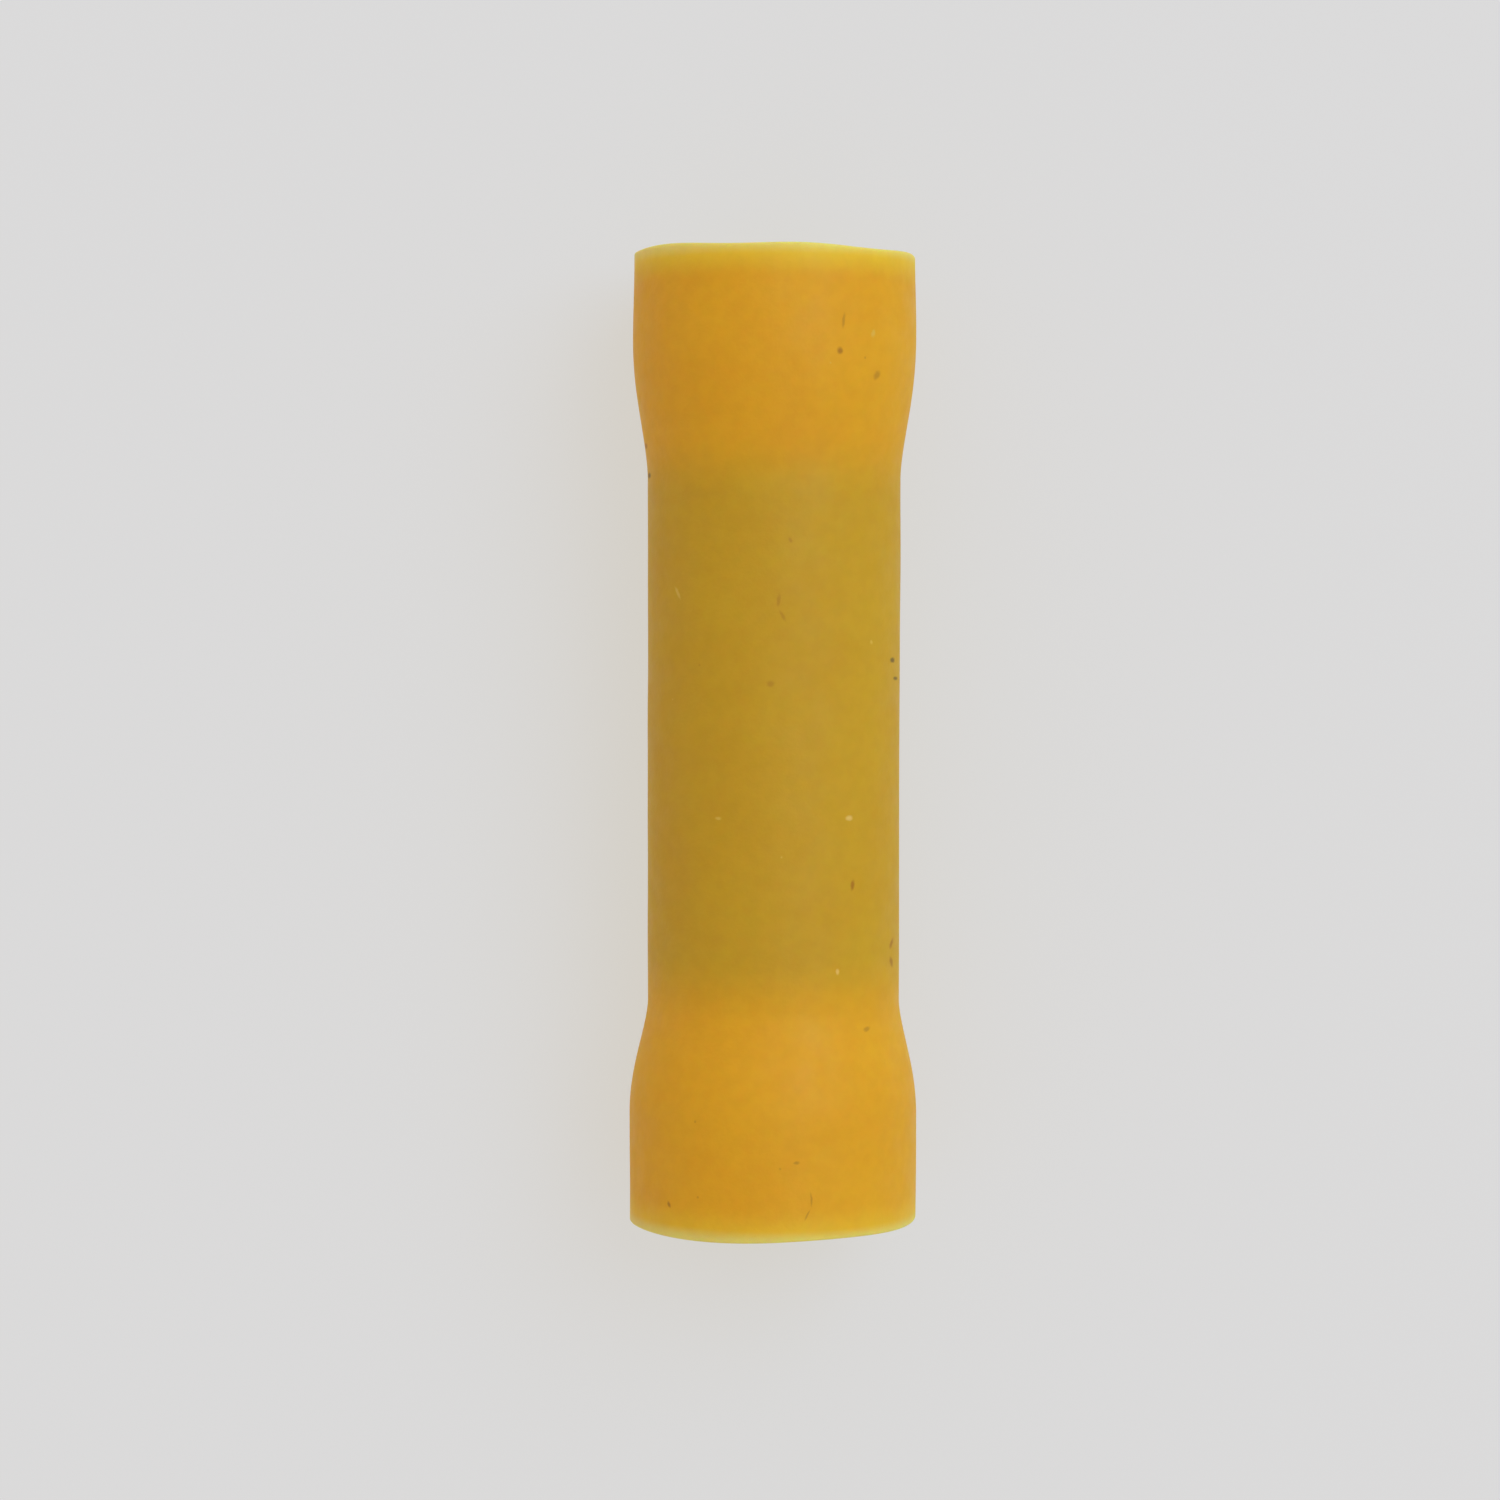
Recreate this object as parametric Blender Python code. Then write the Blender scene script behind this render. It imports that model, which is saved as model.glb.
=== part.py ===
"""Insulated butt connector: a tin-plated copper crimp barrel held in a soft yellow PVC sleeve.

A stripped wire goes in at each end. Its bare strands enter the barrel and its insulation enters
the sleeve's bell mouth, and the middle is then crimped. The connector lies on its side, with its
axis along Y and its centre at the origin. Everything is in metres.
"""

import math

import bmesh
import bpy

MM = 0.001

# The sleeve
SLEEVE_LENGTH = 26.5 * MM  # rim to rim
GRIP_WALL = 0.69 * MM  # wall of the straight middle, round the barrel
GRIP_MARGIN = 0.15 * MM  # the straight middle is longer than the barrel by this much at each end
BELL_WALL = 0.65 * MM
BELL_FLARE = 0.48 * MM  # how much wider the bell's bore is than the middle's, in radius
NECK_LENGTH = 2.85 * MM  # from the straight middle to the full bell
RIM_ROUND = 0.12 * MM  # edge radius of the cut ends

# The crimp barrel
BARREL_LENGTH = 14.0 * MM
BARREL_DIAMETER = 5.5 * MM
BORE_DIAMETER = 3.4 * MM  # takes bare strands of 4 to 6 square millimetres
BARREL_OFFSET = 0.4 * MM  # how far the barrel's centre lies towards the +Y bell
ENTRY_CHAMFER = 0.3 * MM  # on the bore's two edges, to lead the strands in
END_CHAMFER = 0.1 * MM  # on the outer edges
GRIP_GAP = 0.02 * MM  # radial gap between the barrel and the sleeve round it

# The grip grooves in each half of the bore
GROOVES = 3
GROOVE_PITCH = 1.5 * MM
GROOVE_WIDTH = 0.5 * MM
GROOVE_DEPTH = 0.12 * MM
FIRST_GROOVE = 1.6 * MM  # from the barrel's end to the middle of its outermost groove

# The wire stop: two opposite punch marks halfway along the barrel
STOP_DEPTH = 0.8 * MM
STOP_WIDTH = 3.0 * MM

# Smoothness
SEGMENTS = 48
NECK_STEPS = 9
ROUND_STEPS = 3
STOP_ROWS = 10
SMOOTH_BELOW = math.radians(30)

# Sizes that follow from those above
BARREL_RADIUS = BARREL_DIAMETER / 2
BORE_RADIUS = BORE_DIAMETER / 2
GRIP_INNER = BARREL_RADIUS + GRIP_GAP
GRIP_OUTER = GRIP_INNER + GRIP_WALL
BELL_INNER = GRIP_INNER + BELL_FLARE
BELL_OUTER = BELL_INNER + BELL_WALL
RIM_Y = SLEEVE_LENGTH / 2
NECK_START = BARREL_LENGTH / 2 + GRIP_MARGIN


def clear_scene():
    for thing in list(bpy.data.objects):
        bpy.data.objects.remove(thing, do_unlink=True)


def material(name, colour, roughness, metallic):
    made = bpy.data.materials.new(name)
    made.use_nodes = True
    shader = made.node_tree.nodes["Principled BSDF"]
    shader.inputs["Base Color"].default_value = (*colour, 1)
    shader.inputs["Roughness"].default_value = roughness
    shader.inputs["Metallic"].default_value = metallic
    return made


def neck(start_radius, end_radius):
    """The S-curve from the straight middle out to the bell at +Y, as (radius, y) points."""
    points = []
    for step in range(NECK_STEPS + 1):
        share = step / NECK_STEPS
        eased = (1 - math.cos(math.pi * share)) / 2
        radius = start_radius + (end_radius - start_radius) * eased
        points.append((radius, NECK_START + NECK_LENGTH * share))
    return points


def rounded(radius, y, first_angle, last_angle):
    """The rim's edge round, drawn about (radius, y) from one angle to the other."""
    points = []
    for step in range(ROUND_STEPS + 1):
        angle = first_angle + (last_angle - first_angle) * step / ROUND_STEPS
        points.append((radius + RIM_ROUND * math.cos(angle), y + RIM_ROUND * math.sin(angle)))
    return points


def mirrored(points):
    """The same points at -Y, in the opposite order, so that they run on into the given ones."""
    return [(radius, -y) for radius, y in reversed(points)]


def sleeve_outline():
    """Round the sleeve's wall: along its inside from -Y to +Y, and back along its outside."""
    round_y = RIM_Y - RIM_ROUND
    inside = neck(GRIP_INNER, BELL_INNER)
    inside += rounded(BELL_INNER + RIM_ROUND, round_y, math.pi, math.pi / 2)
    outside = neck(GRIP_OUTER, BELL_OUTER)
    outside += rounded(BELL_OUTER - RIM_ROUND, round_y, 0, math.pi / 2)
    return mirrored(inside) + inside + (mirrored(outside) + outside)[::-1]


def half_bore():
    """The bore's points from near the wire stop out to the +Y end, grooves and all."""
    end = BARREL_LENGTH / 2
    points = []
    for groove in reversed(range(GROOVES)):
        middle = end - FIRST_GROOVE - groove * GROOVE_PITCH
        points += [
            (BORE_RADIUS, middle - GROOVE_WIDTH / 2),
            (BORE_RADIUS + GROOVE_DEPTH, middle - GROOVE_WIDTH / 4),
            (BORE_RADIUS + GROOVE_DEPTH, middle + GROOVE_WIDTH / 4),
            (BORE_RADIUS, middle + GROOVE_WIDTH / 2),
        ]
    return points + [(BORE_RADIUS, end - ENTRY_CHAMFER), (BORE_RADIUS + ENTRY_CHAMFER, end)]


def stop_rows(radius):
    """Points along the stretch that the punch marks shape, from -Y to +Y."""
    return [(radius, STOP_WIDTH * (row / STOP_ROWS - 0.5)) for row in range(STOP_ROWS + 1)]


def barrel_outline():
    """Round the barrel's wall: along its bore from -Y to +Y, and back along its outside."""
    end = BARREL_LENGTH / 2
    shoulder = [(BARREL_RADIUS, end - END_CHAMFER), (BARREL_RADIUS - END_CHAMFER, end)]
    inside = mirrored(half_bore()) + stop_rows(BORE_RADIUS) + half_bore()
    outside = mirrored(shoulder) + stop_rows(BARREL_RADIUS) + shoulder
    return inside + outside[::-1]


def turned(outline):
    """A closed outline of (radius, y) points turned once round the Y axis."""
    mesh = bmesh.new()
    corners = [mesh.verts.new((radius, y, 0)) for radius, y in outline]
    edges = [mesh.edges.new((a, b)) for a, b in zip(corners, corners[1:] + corners[:1])]
    bmesh.ops.spin(
        mesh, geom=corners + edges, cent=(0, 0, 0), axis=(0, 1, 0), dvec=(0, 0, 0),
        angle=2 * math.pi, steps=SEGMENTS, use_merge=True, use_duplicate=False,
    )
    bmesh.ops.recalc_face_normals(mesh, faces=mesh.faces)
    return mesh


def punch_stop(mesh):
    """Push the barrel's wall in along X, from both sides, with a round-nosed punch."""
    for corner in mesh.verts:
        away = 2 * math.hypot(corner.co.y, corner.co.z) / STOP_WIDTH
        if away < 1:
            depth = STOP_DEPTH * (1 - away ** 2) ** 1.5
            corner.co.x -= math.copysign(depth, corner.co.x)


def solid(name, mesh, surface):
    """One node: the finished mesh as an object of its own, shaded smooth between sharp edges."""
    data = bpy.data.meshes.new(name)
    mesh.to_mesh(data)
    mesh.free()
    data.shade_smooth()
    data.set_sharp_from_angle(angle=SMOOTH_BELOW)
    data.materials.append(surface)
    made = bpy.data.objects.new(name, data)
    bpy.context.scene.collection.objects.link(made)
    return made


def insulating_sleeve():
    pvc = material("yellow_pvc", colour=(0.70, 0.40, 0.04), roughness=0.45, metallic=0)
    return solid("insulating_sleeve", turned(sleeve_outline()), pvc)


def crimp_barrel():
    tin = material("tin_plate", colour=(0.72, 0.71, 0.68), roughness=0.35, metallic=1)
    mesh = turned(barrel_outline())
    punch_stop(mesh)
    barrel = solid("crimp_barrel", mesh, tin)
    barrel.location.y = BARREL_OFFSET
    return barrel


clear_scene()
insulating_sleeve()
crimp_barrel()
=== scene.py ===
"""Looks of the insulated butt connector: a flared PVC sleeve over a tin-plated crimp barrel.

Metres throughout, apart from materials, which work in millimetres of the part's own frame. Every
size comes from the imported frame, or is one of the named values below.
"""

import math

import bmesh
import bpy
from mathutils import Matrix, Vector, noise


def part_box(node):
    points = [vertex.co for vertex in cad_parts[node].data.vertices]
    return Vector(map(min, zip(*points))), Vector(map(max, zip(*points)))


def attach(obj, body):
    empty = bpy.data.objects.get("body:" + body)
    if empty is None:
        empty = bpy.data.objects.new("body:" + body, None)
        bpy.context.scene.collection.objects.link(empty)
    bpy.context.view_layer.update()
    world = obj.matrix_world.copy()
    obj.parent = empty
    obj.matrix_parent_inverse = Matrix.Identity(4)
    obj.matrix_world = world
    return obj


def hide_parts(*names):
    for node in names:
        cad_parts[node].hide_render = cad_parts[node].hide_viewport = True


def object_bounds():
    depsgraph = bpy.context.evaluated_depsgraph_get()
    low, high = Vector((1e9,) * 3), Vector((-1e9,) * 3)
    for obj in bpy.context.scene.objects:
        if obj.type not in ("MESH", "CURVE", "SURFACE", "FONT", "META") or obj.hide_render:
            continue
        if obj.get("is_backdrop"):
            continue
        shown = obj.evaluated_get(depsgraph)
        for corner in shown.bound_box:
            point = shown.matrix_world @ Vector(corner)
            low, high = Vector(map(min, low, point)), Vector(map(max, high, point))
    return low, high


MM = 0.001
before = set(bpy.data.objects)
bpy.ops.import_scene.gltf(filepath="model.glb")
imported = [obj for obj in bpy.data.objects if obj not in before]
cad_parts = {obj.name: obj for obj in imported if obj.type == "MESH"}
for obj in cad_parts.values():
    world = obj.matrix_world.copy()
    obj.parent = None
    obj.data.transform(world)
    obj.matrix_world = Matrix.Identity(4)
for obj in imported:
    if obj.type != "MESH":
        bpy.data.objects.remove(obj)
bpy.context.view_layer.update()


# ---------------------------------------------------------------- sizes, read from the frame

def corners(node):
    """(radius, y) of every corner of a turned CAD node, whatever its angle."""
    return [(math.hypot(v.co.x, v.co.z), v.co.y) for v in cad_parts[node].data.vertices]


NEAR = 0.001 * MM  # corners this close count as level with each other
BY_RIM = 1 * MM  # this near its rim, a bell has its full bore
CLEAR_OF_STOP = 3 * MM  # this far from the barrel's middle, the wire stop doesn't narrow the bore
SLEEVE = corners("insulating_sleeve")
BARREL = corners("crimp_barrel")

RIM_Y = max(y for radius, y in SLEEVE)
NECK_Y = min(abs(y) for radius, y in SLEEVE)  # where the straight middle ends
MIDDLE_OUTER = max(radius for radius, y in SLEEVE if abs(y) < NECK_Y + NEAR)
MIDDLE_INNER = min(radius for radius, y in SLEEVE)
BELL_OUTER = max(radius for radius, y in SLEEVE)
BELL_INNER = min(radius for radius, y in SLEEVE if y > RIM_Y - BY_RIM)
BELL_Y = min(abs(y) for radius, y in SLEEVE if radius > BELL_OUTER - NEAR)

BARREL_LOW, BARREL_HIGH = (corner.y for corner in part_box("crimp_barrel"))
BARREL_MIDDLE = (BARREL_LOW + BARREL_HIGH) / 2
BARREL_OUTER = max(radius for radius, y in BARREL)
BORE = min(radius for radius, y in BARREL if abs(y - BARREL_MIDDLE) > CLEAR_OF_STOP)


# ---------------------------------------------------------------- turned surfaces

def eased(share):
    """0 to 1 with a level start and finish."""
    share = min(max(share, 0), 1)
    return (1 - math.cos(math.pi * share)) / 2


def steps(start, end, count):
    """Evenly spaced values from start to end, both included."""
    return [start + (end - start) * step / count for step in range(count + 1)]


def arc(radius, y, size, start, end, count):
    """(radius, y) points round a small edge, between two angles in degrees."""
    angles = [math.radians(a) for a in steps(start, end, count)]
    return [(radius + size * math.cos(a), y + size * math.sin(a)) for a in angles]


def mirrored(points):
    """The same (radius, y) points at -Y, in the opposite order."""
    return [(radius, -y) for radius, y in reversed(points)]


def on_circle(radius, y, angle):
    return Vector((radius * math.cos(angle), y, radius * math.sin(angle)))


def turned_piece(name, outline, segments, place):
    """A closed outline turned once round Y. place(radius, y, angle) may move a point a little."""
    mesh = bmesh.new()
    rows = []
    for radius, y in outline:
        row = []
        for segment in range(segments):
            angle = 2 * math.pi * segment / segments
            row.append(mesh.verts.new(place(radius, y, angle)))
        rows.append(row)
    lengths = [0.0]
    for (r0, y0), (r1, y1) in zip(outline, outline[1:] + outline[:1]):
        lengths.append(lengths[-1] + math.hypot(r1 - r0, y1 - y0))
    layer = mesh.loops.layers.uv.new("OFBake")
    for index, row in enumerate(rows):
        above = rows[(index + 1) % len(rows)]
        for segment in range(segments):
            after = (segment + 1) % segments
            face = mesh.faces.new((row[segment], row[after], above[after], above[segment]))
            face.smooth = True
            across = (segment / segments, (segment + 1) / segments)
            along = (lengths[index] / lengths[-1], lengths[index + 1] / lengths[-1])
            for loop, (u, v) in zip(face.loops, ((0, 0), (1, 0), (1, 1), (0, 1))):
                loop[layer].uv = (across[u], along[v])
    data = bpy.data.meshes.new(name)
    mesh.to_mesh(data)
    mesh.free()
    made = bpy.data.objects.new(name, data)
    bpy.context.scene.collection.objects.link(made)
    return made


# ---------------------------------------------------------------- the sleeve

# Each end of the sleeve was widened and cut on its own, so the two differ slightly. bell and lip are
# added to the radius, all along the bell and towards its rim. The cut slants by a little of x and
# z, and waves as it goes round, with a crest at the given angle. glow scales the painted light by
# that end's cut rim: it is stronger at +Y, where the back light falls into the cut.
END_SHAPES = {
    1: {"neck_end": 10.9 * MM, "bell": -0.03 * MM, "lip": -0.045 * MM, "slant": (-0.017, -0.0085),
        "waves": 6, "crest": math.radians(78), "glow": 1.0},
    -1: {"neck_end": 10.3 * MM, "bell": 0.05 * MM, "lip": -0.012 * MM, "slant": (0.016, 0),
         "waves": 4, "crest": math.radians(114), "glow": 0.6},
}
NECK_HASTE = 0.8  # below 1, the neck widens soonest next to the middle
LIP_LENGTH = 2.4 * MM  # stretch by the rim over which the bell draws in
OUTER_EDGE = 0.06 * MM  # rounding of the cut rim
INNER_EDGE = 0.07 * MM
CUT_WAVE = 0.025 * MM
CUT_DEPTH = 0.5 * MM  # stretch by the rim that the cut has drawn along
WORN = 0.02 * MM  # how much lower the rim is at its worn place, which faces -X
WORN_FOCUS = 12  # the higher, the narrower that place
SKIN_WAVE = 0.015 * MM  # unevenness of the moulded wall
SKIN_LUMP = 2.2 * MM  # how far apart its highs and lows lie
OVALITY = 0.010 * MM
OVAL_PHASE = 0.6  # radians

SLEEVE_SEGMENTS = 224
EARLY, LATE = 0.4 * MM, 1 * MM  # the close rows start before the neck and end past it
MIDDLE_ROWS, NECK_ROWS, BELL_ROWS = 40, 44, 18
OUTER_EDGE_ROWS, INNER_EDGE_ROWS = 5, 4


def wall_radius(y, middle, bell):
    """Radius of one side of the sleeve's wall at y, from its radius at the middle and the bell."""
    shape = END_SHAPES[1 if y > 0 else -1]
    share = (abs(y) - NECK_Y) / (shape["neck_end"] - NECK_Y)
    widened = eased(max(share, 0) ** NECK_HASTE)
    lip = eased((abs(y) - RIM_Y + LIP_LENGTH) / LIP_LENGTH)
    return middle + (bell + shape["bell"] - middle) * widened + shape["lip"] * lip


def wall_rows(last):
    """Where the rows of points lie, from the middle out to the last, closest at the neck."""
    straight = steps(0, NECK_Y - EARLY, MIDDLE_ROWS)
    neck = steps(NECK_Y - EARLY, BELL_Y + LATE, NECK_ROWS)
    bell = steps(BELL_Y + LATE, last, BELL_ROWS)
    return straight[:-1] + neck[:-1] + bell


def wall_side(middle, bell, edge, toward, edge_angle, edge_rows):
    """One side of the wall from rim to rim, with its small edges.

    toward is 1 where the plastic lies outwards from this side, and -1 where it lies inwards.
    """
    rim = RIM_Y - edge
    side = []
    for end in (-1, 1):
        half = [(wall_radius(end * y, middle, bell), y) for y in wall_rows(rim)[:-1]]
        lip = wall_radius(end * rim, middle, bell) + toward * edge
        half += arc(lip, rim, edge, edge_angle, 90, edge_rows)
        side += half if end == 1 else mirrored(half[1:])
    return side


def sleeve_outline():
    """Along the bore from -Y to +Y, and back along the outside."""
    bore = wall_side(MIDDLE_INNER, BELL_INNER, INNER_EDGE, 1, 180, INNER_EDGE_ROWS)
    skin = wall_side(MIDDLE_OUTER, BELL_OUTER, OUTER_EDGE, -1, 0, OUTER_EDGE_ROWS)
    return bore + skin[::-1]


def place_on_sleeve(radius, y, angle):
    """The small unevenness of a soft moulded part: uneven cut rims, a faint oval, a wavy skin."""
    point = on_circle(radius, y, angle)
    end = END_SHAPES[1 if y > 0 else -1]
    outward = math.copysign(1, y)
    by_rim = eased((abs(y) - BELL_Y) / (RIM_Y - BELL_Y))
    by_cut = eased((abs(y) - RIM_Y + CUT_DEPTH) / CUT_DEPTH)
    cut = outward * CUT_WAVE * math.cos(end["waves"] * (angle - end["crest"])) * by_cut
    worn = outward * WORN * max(0, -math.cos(angle)) ** WORN_FOCUS * by_cut
    slant = (end["slant"][0] * point.x + end["slant"][1] * point.z) * by_rim
    skin = SKIN_WAVE * noise.noise(point / SKIN_LUMP)
    oval = OVALITY * math.cos(2 * angle + OVAL_PHASE) * by_rim
    grown = (radius + skin + oval) / radius
    return Vector((point.x * grown, y + slant + cut - worn, point.z * grown))


# ---------------------------------------------------------------- the barrel

GROOVE_MIDDLES = (1.6 * MM, 3.1 * MM, 4.6 * MM)  # from the barrel's end
GROOVE_WIDTH, GROOVE_DEPTH = 0.5 * MM, 0.12 * MM
ENTRY = 0.3 * MM  # chamfer where the strands enter
ENTRY_EDGE = 0.05 * MM  # rounding between the chamfer and the end
SHOULDER = 0.12 * MM  # rounding of the outer edge
STOP_WIDTH, STOP_DEPTH = 3.0 * MM, 0.8 * MM

BARREL_SEGMENTS = 160
BORE_ROWS, BARREL_ROWS = 200, 90
ENTRY_EDGE_ROWS, SHOULDER_ROWS = 3, 5


def bore_radius(from_end):
    """The bore's radius at a distance from the barrel's nearer end, grip grooves included."""
    for middle in GROOVE_MIDDLES:
        off = abs(from_end - middle) / (GROOVE_WIDTH / 2)
        if off < 1:
            return BORE + GROOVE_DEPTH * eased(2 * (1 - off))
    return BORE


def barrel_outline():
    """Along the bore from -Y to +Y, and back along the outside, about the barrel's own middle."""
    half = (BARREL_HIGH - BARREL_LOW) / 2
    bore = [(bore_radius(half - abs(y)), y) for y in steps(ENTRY - half, half - ENTRY, BORE_ROWS)]
    end = [(BORE + ENTRY * share, half - ENTRY * (1 - share)) for share in (0.25, 0.5, 0.75)]
    end += arc(BORE + ENTRY + ENTRY_EDGE, half - ENTRY_EDGE, ENTRY_EDGE, 150, 90, ENTRY_EDGE_ROWS)
    end += arc(BARREL_OUTER - SHOULDER, half - SHOULDER, SHOULDER, 90, 0, SHOULDER_ROWS)
    outside = [(BARREL_OUTER, -y) for y in steps(SHOULDER - half, half - SHOULDER, BARREL_ROWS)]
    return bore + end + outside[1:-1] + mirrored(end)


def place_on_barrel(radius, y, angle):
    """Moves the barrel to its place, with the wire stop pushed in along X from both sides."""
    point = on_circle(radius, y, angle)
    away = min(1, math.hypot(point.y, point.z) / (STOP_WIDTH / 2))
    depth = STOP_DEPTH * (1 - away ** 2) ** 1.5
    return Vector((point.x - math.copysign(depth, point.x), y + BARREL_MIDDLE, point.z))


# ---------------------------------------------------------------- node helpers

MARK_CORE, MARK_EDGE = 0.3, 1.1  # a mark is full within the first and gone past the second,
                                 # both in its half sizes
SPECK_CORE = 0.4  # the share of a speck's size that is full
MOST = (0.3, 0.7)  # most of the surface has a noise value between these


class Nodes:
    """Builds a material's nodes in millimetres of the object's own coordinates."""

    def __init__(self, name):
        self.material = bpy.data.materials.new(name)
        self.material.use_nodes = True
        self.tree = self.material.node_tree
        self.shader = self.tree.nodes["Principled BSDF"]
        coordinates = self.tree.nodes.new("ShaderNodeTexCoord").outputs["Object"]
        self.mm = self.vector("MULTIPLY", coordinates, (1 / MM, 1 / MM, 1 / MM))
        self.y = self.node("ShaderNodeSeparateXYZ", self.mm).outputs["Y"]

    def node(self, kind, *inputs, **settings):
        made = self.tree.nodes.new(kind)
        for name, value in settings.items():
            setattr(made, name, value)
        for socket, value in zip(made.inputs, inputs):
            self.feed(socket, value)
        return made

    def feed(self, socket, value):
        """Links a socket, or sets it to a constant, or leaves it as it is for None."""
        if isinstance(value, bpy.types.NodeSocket):
            self.tree.links.new(value, socket)
        elif value is not None:
            socket.default_value = value

    def set(self, **constants):
        """Sets the shader's own sockets: Subsurface_Weight stands for Subsurface Weight."""
        for name, value in constants.items():
            self.shader.inputs[name.replace("_", " ")].default_value = value

    def vector(self, operation, *inputs):
        made = self.node("ShaderNodeVectorMath", *inputs, operation=operation)
        return made.outputs["Value" if operation == "LENGTH" else "Vector"]

    def maths(self, operation, *inputs):
        return self.node("ShaderNodeMath", *inputs, operation=operation).outputs["Value"]

    def ramp(self, value, low, high, start=0.0, end=1.0):
        """start below low and end above high, with a smooth change between."""
        made = self.node("ShaderNodeMapRange", value, low, high, start, end,
                         interpolation_type="SMOOTHSTEP")
        return made.outputs["Result"]

    def noise(self, scale, detail, stretch=(1, 1, 1)):
        """Noise from 0 to 1, with this many lumps to a millimetre."""
        place = self.vector("MULTIPLY", self.mm, stretch)
        made = self.node("ShaderNodeTexNoise", place)
        made.inputs["Scale"].default_value = scale
        made.inputs["Detail"].default_value = detail
        return made.outputs["Fac"]

    def mix(self, share, first, second, blend="MIX"):
        made = self.node("ShaderNodeMix", data_type="RGBA", blend_type=blend)
        colours = [socket for socket in made.inputs if socket.type == "RGBA"]
        self.feed(made.inputs[0], share)
        for socket, colour in zip(colours, (first, second)):
            self.feed(socket, (*colour, 1) if isinstance(colour, tuple) else colour)
        return [socket for socket in made.outputs if socket.type == "RGBA"][0]

    def tint(self, base, share, strength, colour, blend="MIX"):
        """The base colour, with this one over it as far as share times strength says."""
        return self.mix(self.maths("MULTIPLY", share, strength), base, colour, blend)

    def bump(self, height, strength, distance):
        made = self.node("ShaderNodeBump")
        made.inputs["Strength"].default_value = strength
        made.inputs["Distance"].default_value = distance
        self.feed(made.inputs["Height"], height)
        self.feed(self.shader.inputs["Normal"], made.outputs["Normal"])

    def ragged(self, amount, scale):
        """The coordinates, pushed about by as much as this many millimetres."""
        made = self.node("ShaderNodeTexNoise", self.mm)
        made.inputs["Scale"].default_value = scale
        push = self.vector("SUBTRACT", made.outputs["Color"], (0.5, 0.5, 0.5))
        return self.vector("ADD", self.mm, self.vector("SCALE", push, None, None, 2 * amount))

    def spot(self, coordinates, place, half_sizes, turn):
        """1 in the middle of a small oval mark on the surface, fading to 0 outside it."""
        inside = self.node("ShaderNodeMapping", coordinates, place, (0, 0, turn), half_sizes,
                           vector_type="TEXTURE")
        away = self.vector("LENGTH", inside.outputs["Vector"])
        return self.ramp(away, MARK_CORE, MARK_EDGE, 1.0, 0.0)

    def specks(self, scale, size, share):
        """1 on specks of this size in millimetres, in this share of the cells of a loose grid."""
        cells = self.node("ShaderNodeTexVoronoi", self.mm)
        cells.inputs["Scale"].default_value = scale
        edge = size * scale
        near = self.ramp(cells.outputs["Distance"], SPECK_CORE * edge, edge, 1.0, 0.0)
        chance = self.node("ShaderNodeSeparateColor", cells.outputs["Color"]).outputs["Red"]
        return self.maths("MULTIPLY", near, self.maths("LESS_THAN", chance, share))


# ---------------------------------------------------------------- materials

BELL_COLOUR = (0.727, 0.348, 0.0056)
OVER_METAL_COLOUR = (0.574, 0.312, 0.008)
GLOW_COLOUR = (0.76, 0.53, 0.025)
CUT_LIGHT_COLOUR = (0.70, 0.57, 0.14)
BORE_LIGHT_COLOUR = (0.86, 0.56, 0.05)
CLOUD_COLOUR, CLOUD_STRENGTH = (0.84, 0.30, 0.01), 0.07
GRAIN_COLOUR, GRAIN_STRENGTH = (0.35, 0.28, 0.10), 0.06
METAL_BLUR = 1.0  # mm over which the barrel's ends show through the wall
RIM_GLOW = 1.0  # mm of brighter plastic by each cut rim, where light comes in through the cut
RIM_EDGE = 0.36  # mm of painted light at the cut itself: lime, where light comes through the thin cut edge
HALFWAY = 1.0  # mm each side of the middle over which one end's glow gives way to the other's
INSIDE_FADE = (0.3, 0.8)  # shares of the way from the bell's bore to the middle's skin, where the bore's painted light gives way to the outside's colour
                          # inside's colour gives way to the outside's

TIN_COLOUR = (0.80, 0.79, 0.76)
BLOOM_COLOUR = (0.73, 0.72, 0.69)
DRAW_MARK_COLOUR, DRAW_MARK_STRENGTH = (0.45, 0.44, 0.42), 0.12

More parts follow.
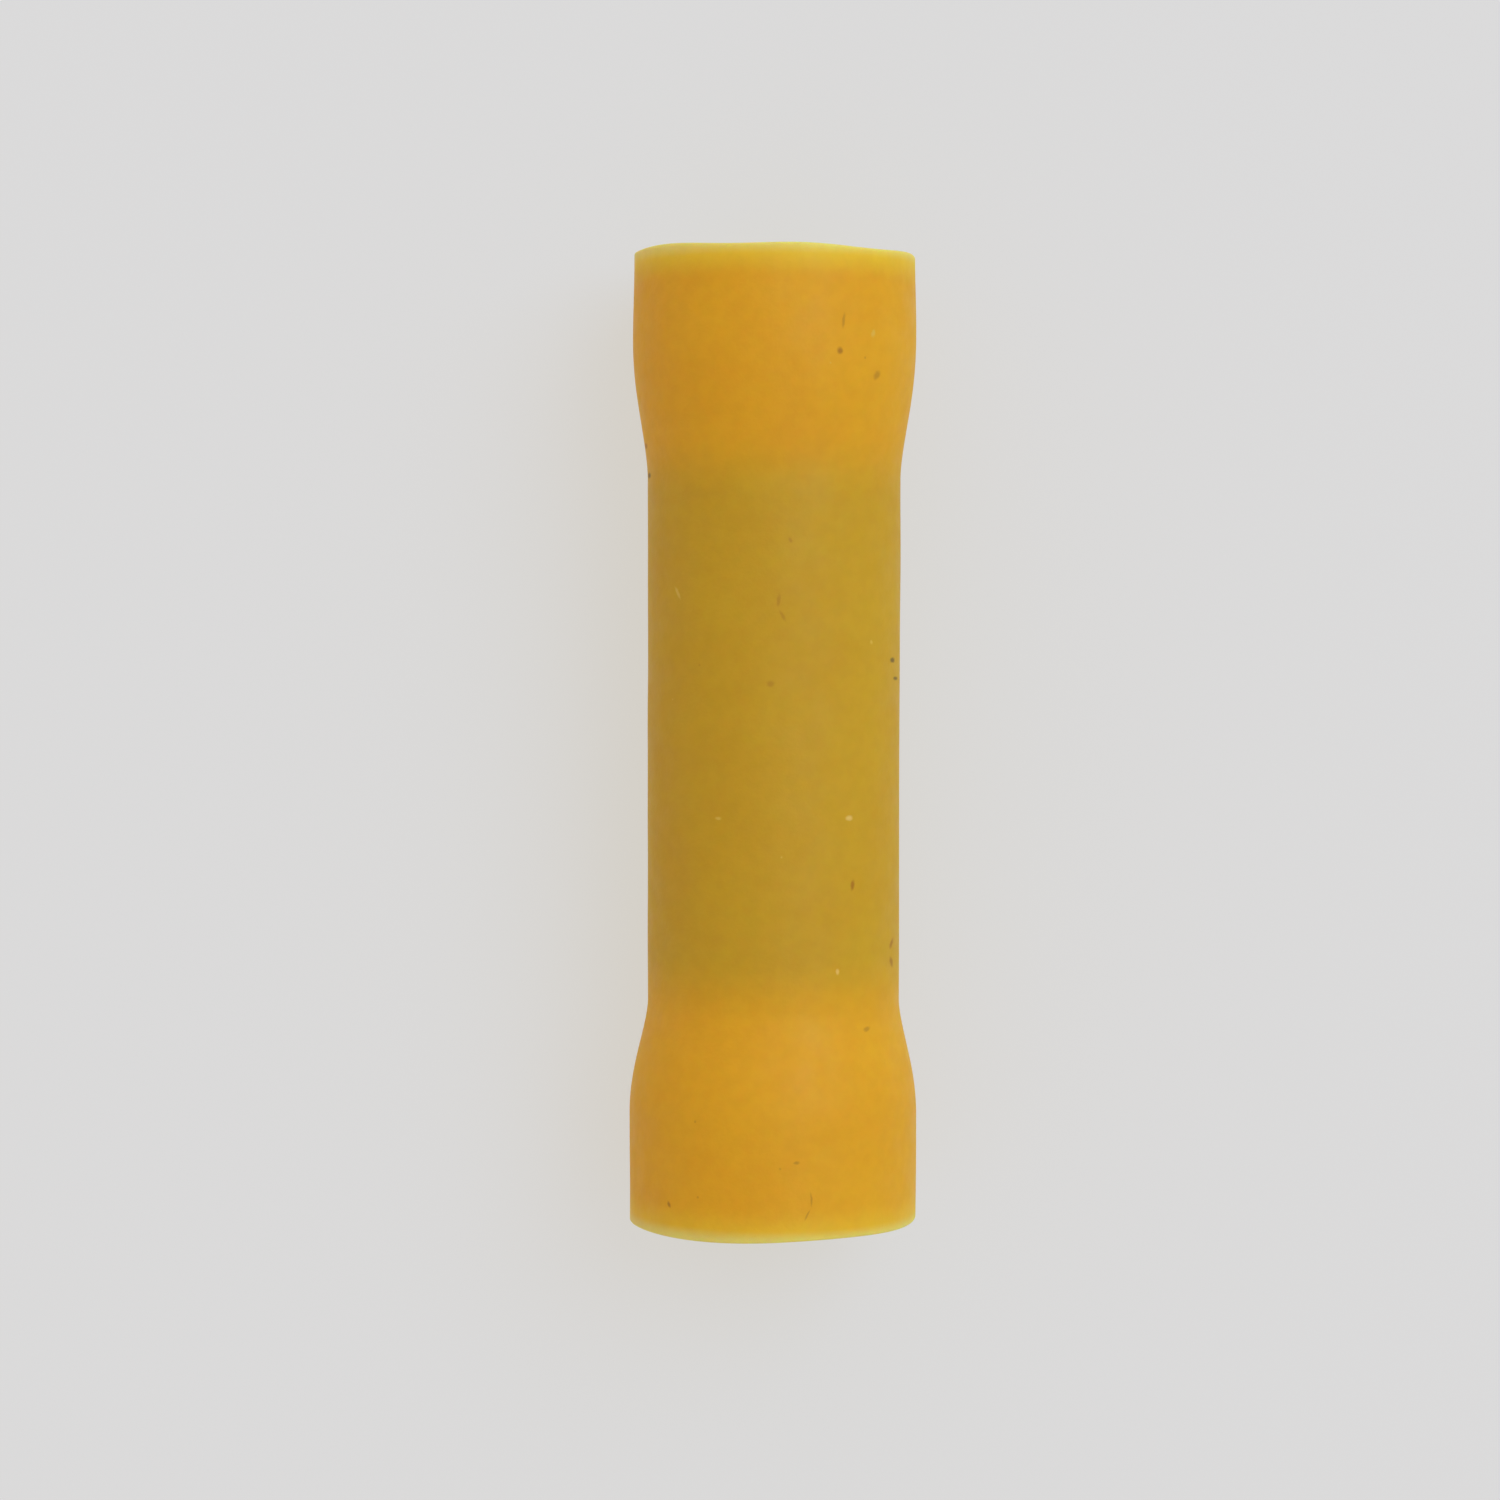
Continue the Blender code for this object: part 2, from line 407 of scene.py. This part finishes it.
# Dust and specks on the skin, in mm: across (x), along (y), half sizes, turn in degrees, tone.
SOOT = (0.04, 0.020, 0.002)
DARK, FAINT = (0.33, 0.105, 0.003), (0.45, 0.195, 0.006)
PALE, BRIGHT = (0.68, 0.43, 0.07), (0.80, 0.50, 0.14)
MARK_DEPTH = 0.3  # half size across the wall, more than its unevenness
MARK_STRENGTH = 0.7
SPECK_STRENGTH = 0.5
MARKS = (
    (1.7, 10.4, 0.10, 0.12, 0, DARK),
    (2.7, 9.8, 0.10, 0.18, -30, FAINT),
    (1.8, 11.2, 0.05, 0.24, -5, FAINT),
    (2.6, 10.9, 0.07, 0.13, -10, PALE),
    (0.4, 5.4, 0.06, 0.10, 35, FAINT),
    (0.1, 3.8, 0.06, 0.20, -5, FAINT),
    (0.2, 3.4, 0.06, 0.20, 30, FAINT),
    (-2.6, 4.0, 0.05, 0.24, 25, PALE),
    (-0.1, 1.6, 0.13, 0.11, 0, FAINT),
    (3.2, 2.2, 0.13, 0.09, 0, SOOT),
    (3.3, 1.7, 0.18, 0.07, 0, SOOT),
    (2.6, 2.7, 0.05, 0.07, 0, PALE),
    (2.0, -2.0, 0.12, 0.09, 0, BRIGHT),
    (-1.5, -2.0, 0.11, 0.06, 0, PALE),
    (2.1, -3.8, 0.07, 0.18, -5, DARK),
    (3.2, -5.5, 0.06, 0.20, -18, DARK),
    (3.2, -6.0, 0.06, 0.20, 15, DARK),
    (1.7, -6.1, 0.07, 0.10, 10, BRIGHT),
    (2.5, -7.7, 0.13, 0.08, 20, FAINT),
    (0.6, -11.1, 0.11, 0.06, 0, FAINT),
    (1.0, -12.1, 0.035, 0.24, 4, FAINT),
    (0.9, -12.5, 0.035, 0.18, -25, FAINT),
    (-2.8, -12.4, 0.05, 0.11, 20, DARK),
    (-3.4, 7.2, 0.16, 0.10, 0, SOOT),
    (-3.5, 8.0, 0.16, 0.10, 0, DARK),
)


def plastic_colour(n):
    """Amber in the bells, olive where the barrel lies close beneath, with painted light: a lighter,
    yellower bore, a brighter band by each cut rim and lime at the cuts themselves.
    """
    low, high = BARREL_LOW / MM, BARREL_HIGH / MM
    past_low = n.ramp(n.y, low - METAL_BLUR, low + METAL_BLUR)
    before_high = n.ramp(n.y, high - METAL_BLUR, high + METAL_BLUR, 1.0, 0.0)
    over_metal = n.maths("MULTIPLY", past_low, before_high)
    colour = n.mix(over_metal, BELL_COLOUR, OVER_METAL_COLOUR)

    # painted light: the bore is painted lighter and yellower than the skin, in place of light that
    # comes in through the translucent wall
    around = n.vector("LENGTH", n.vector("MULTIPLY", n.mm, (1, 0, 1)))
    inner, outer = BELL_INNER / MM, MIDDLE_OUTER / MM
    fade = [inner + share * (outer - inner) for share in INSIDE_FADE]
    inside = n.ramp(around, *fade, 1.0, 0.0)
    colour = n.mix(inside, colour, BORE_LIGHT_COLOUR)

    along = n.maths("ABSOLUTE", n.y)
    rim = RIM_Y / MM
    # painted light by each cut rim, stronger at the +Y end, where the back light falls into the cut
    glow = n.ramp(n.y, -HALFWAY, HALFWAY, END_SHAPES[-1]["glow"], END_SHAPES[1]["glow"])
    glow = n.maths("MULTIPLY", glow, n.ramp(along, rim - RIM_GLOW, rim))
    colour = n.mix(glow, colour, GLOW_COLOUR)
    # painted light: lime at the cut itself, where light comes through the thin cut edge
    return n.mix(n.ramp(along, rim - RIM_EDGE, rim), colour, CUT_LIGHT_COLOUR)


def marked(n, colour):
    """The colour with a faint cloud and grain, scattered specks and the marks of the list."""
    cloud = n.ramp(n.noise(scale=0.55, detail=3), *MOST)
    grain = n.ramp(n.noise(scale=2.6, detail=4), *MOST)
    colour = n.tint(colour, cloud, CLOUD_STRENGTH, CLOUD_COLOUR, "MULTIPLY")
    colour = n.tint(colour, grain, GRAIN_STRENGTH, GRAIN_COLOUR, "MULTIPLY")
    colour = n.tint(colour, n.specks(scale=0.9, size=0.05, share=0.25), SPECK_STRENGTH, FAINT)
    colour = n.tint(colour, n.specks(scale=0.7, size=0.04, share=0.15), SPECK_STRENGTH, PALE)
    ragged = n.ragged(amount=0.03, scale=6)
    for x, y, wide, long, turn, tone in MARKS:
        radius = wall_radius(y * MM, MIDDLE_OUTER, BELL_OUTER) / MM
        place = (x, y, math.sqrt(radius ** 2 - x ** 2))
        spot = n.spot(ragged, place, (wide, long, MARK_DEPTH), math.radians(turn))
        colour = n.tint(colour, spot, MARK_STRENGTH, tone)
    return colour


def sleeve_plastic():
    """Translucent yellow PVC with a satin skin."""
    n = Nodes("yellow_pvc")
    n.feed(n.shader.inputs["Base Color"], marked(n, plastic_colour(n)))
    roughness = n.ramp(n.noise(scale=1.4, detail=4), 0.25, 0.75, start=0.52, end=0.66)
    n.feed(n.shader.inputs["Roughness"], roughness)
    n.set(Subsurface_Weight=0.7, Subsurface_Radius=(2.0, 0.8, 0.15), Subsurface_Scale=0.5 * MM)
    n.set(Specular_IOR_Level=0.25, IOR=1.53)
    relief = n.mix(0.7, n.noise(scale=1.1, detail=5), n.noise(scale=9, detail=3))
    n.bump(relief, strength=0.28, distance=0.03 * MM)
    return n.material


def tin_plate():
    """Bright tin over drawn copper, with long draw marks and a cloudy bloom."""
    n = Nodes("tin_plate")
    drawn = n.noise(scale=5, detail=4, stretch=(1, 0.05, 1))
    bloom = n.ramp(n.noise(scale=0.9, detail=3), 0.35, 0.7)
    colour = n.mix(bloom, TIN_COLOUR, BLOOM_COLOUR)
    colour = n.tint(colour, n.ramp(drawn, *MOST), DRAW_MARK_STRENGTH, DRAW_MARK_COLOUR)
    n.feed(n.shader.inputs["Base Color"], colour)
    n.feed(n.shader.inputs["Roughness"], n.ramp(drawn, *MOST, start=0.28, end=0.38))
    n.set(Metallic=1.0)
    n.bump(drawn, strength=0.12, distance=0.02 * MM)
    return n.material


# ---------------------------------------------------------------- stage, lights and camera

FLOOR_SIZE = 3.0
FLOOR_COLOUR = (0.115, 0.125, 0.19)
FLOOR_GLOW = (0.605, 0.579, 0.512)  # the floor's own light, which keeps shadows faint and warm
SKY = 0.60  # strength of the even light from all round
KEY_COLOUR = (0.70, 1.0, 1.06)
BACK_COLOUR = (0.95, 1.0, 1.02)


def stage():
    """A plain pale floor, lit from inside as a light table is."""
    data = bpy.data.meshes.new("floor")
    half = FLOOR_SIZE / 2
    data.from_pydata([(-half, -half, 0), (half, -half, 0), (half, half, 0), (-half, half, 0)],
                     [], [(0, 1, 2, 3)])
    floor = bpy.data.objects.new("floor", data)
    bpy.context.scene.collection.objects.link(floor)
    floor.location.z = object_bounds()[0].z
    surface = bpy.data.materials.new("floor")
    surface.use_nodes = True
    shader = surface.node_tree.nodes["Principled BSDF"]
    shader.inputs["Base Color"].default_value = (*FLOOR_COLOUR, 1)
    shader.inputs["Roughness"].default_value = 0.9
    shader.inputs["Specular IOR Level"].default_value = 0
    shader.inputs["Emission Color"].default_value = (*FLOOR_GLOW, 1)
    shader.inputs["Emission Strength"].default_value = 1
    data.materials.append(surface)
    floor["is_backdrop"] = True


def light(name, place, size, power, colour):
    """A soft panel, its size given as width and height, that faces the object."""
    data = bpy.data.lights.new(name, "AREA")
    data.shape = "RECTANGLE"
    data.size, data.size_y = size
    data.energy = power
    data.color = colour
    made = bpy.data.objects.new(name, data)
    bpy.context.scene.collection.objects.link(made)
    made.location = place
    made.rotation_euler = (-Vector(place)).to_track_quat("-Z", "Y").to_euler()


def lights():
    world = bpy.data.worlds.new("studio")
    bpy.context.scene.world = world
    world.use_nodes = True
    background = world.node_tree.nodes["Background"]
    background.inputs["Color"].default_value = (1, 1, 1, 1)
    background.inputs["Strength"].default_value = SKY
    light("key", place=(0.48, 0.36, 0.84), size=(0.72, 0.72), power=5.0, colour=KEY_COLOUR)
    light("back", place=(0.15, 1.02, 0.48), size=(1.9, 0.5), power=2.88, colour=BACK_COLOUR)


CAMERA_HEIGHT = 98 * MM
CAMERA_ALONG = 3.7 * MM  # the camera stands above this y
AIM = Vector((-0.66 * MM, -0.30 * MM, 0))  # the middle of the picture
VIEW_WIDTH = 41.24 * MM  # what the picture spans at the object's axis
ROLL = math.radians(0.12)


def camera():
    data = bpy.data.cameras.new("camera")
    made = bpy.data.objects.new("camera", data)
    bpy.context.scene.collection.objects.link(made)
    made.location = (AIM.x, CAMERA_ALONG, CAMERA_HEIGHT)
    made.rotation_euler = (math.atan2(AIM.y - CAMERA_ALONG, CAMERA_HEIGHT), 0, ROLL)
    distance = (Vector(made.location) - AIM).length
    data.lens = data.sensor_width * distance / VIEW_WIDTH
    data.clip_start = 1 * MM
    bpy.context.scene.camera = made


# ---------------------------------------------------------------- the scene

def piece(name, outline, segments, place, node, surface):
    """One visible piece, fixed to the body, in the place of the CAD node it stands for."""
    made = turned_piece(name, outline, segments, place)
    made.data.materials.append(surface)
    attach(made, "root")
    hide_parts(node)


bpy.context.scene.view_settings.view_transform = "Standard"
piece("flared_sleeve", sleeve_outline(), SLEEVE_SEGMENTS, place_on_sleeve,
      "insulating_sleeve", sleeve_plastic())
piece("plated_barrel", barrel_outline(), BARREL_SEGMENTS, place_on_barrel,
      "crimp_barrel", tin_plate())
stage()
lights()
camera()
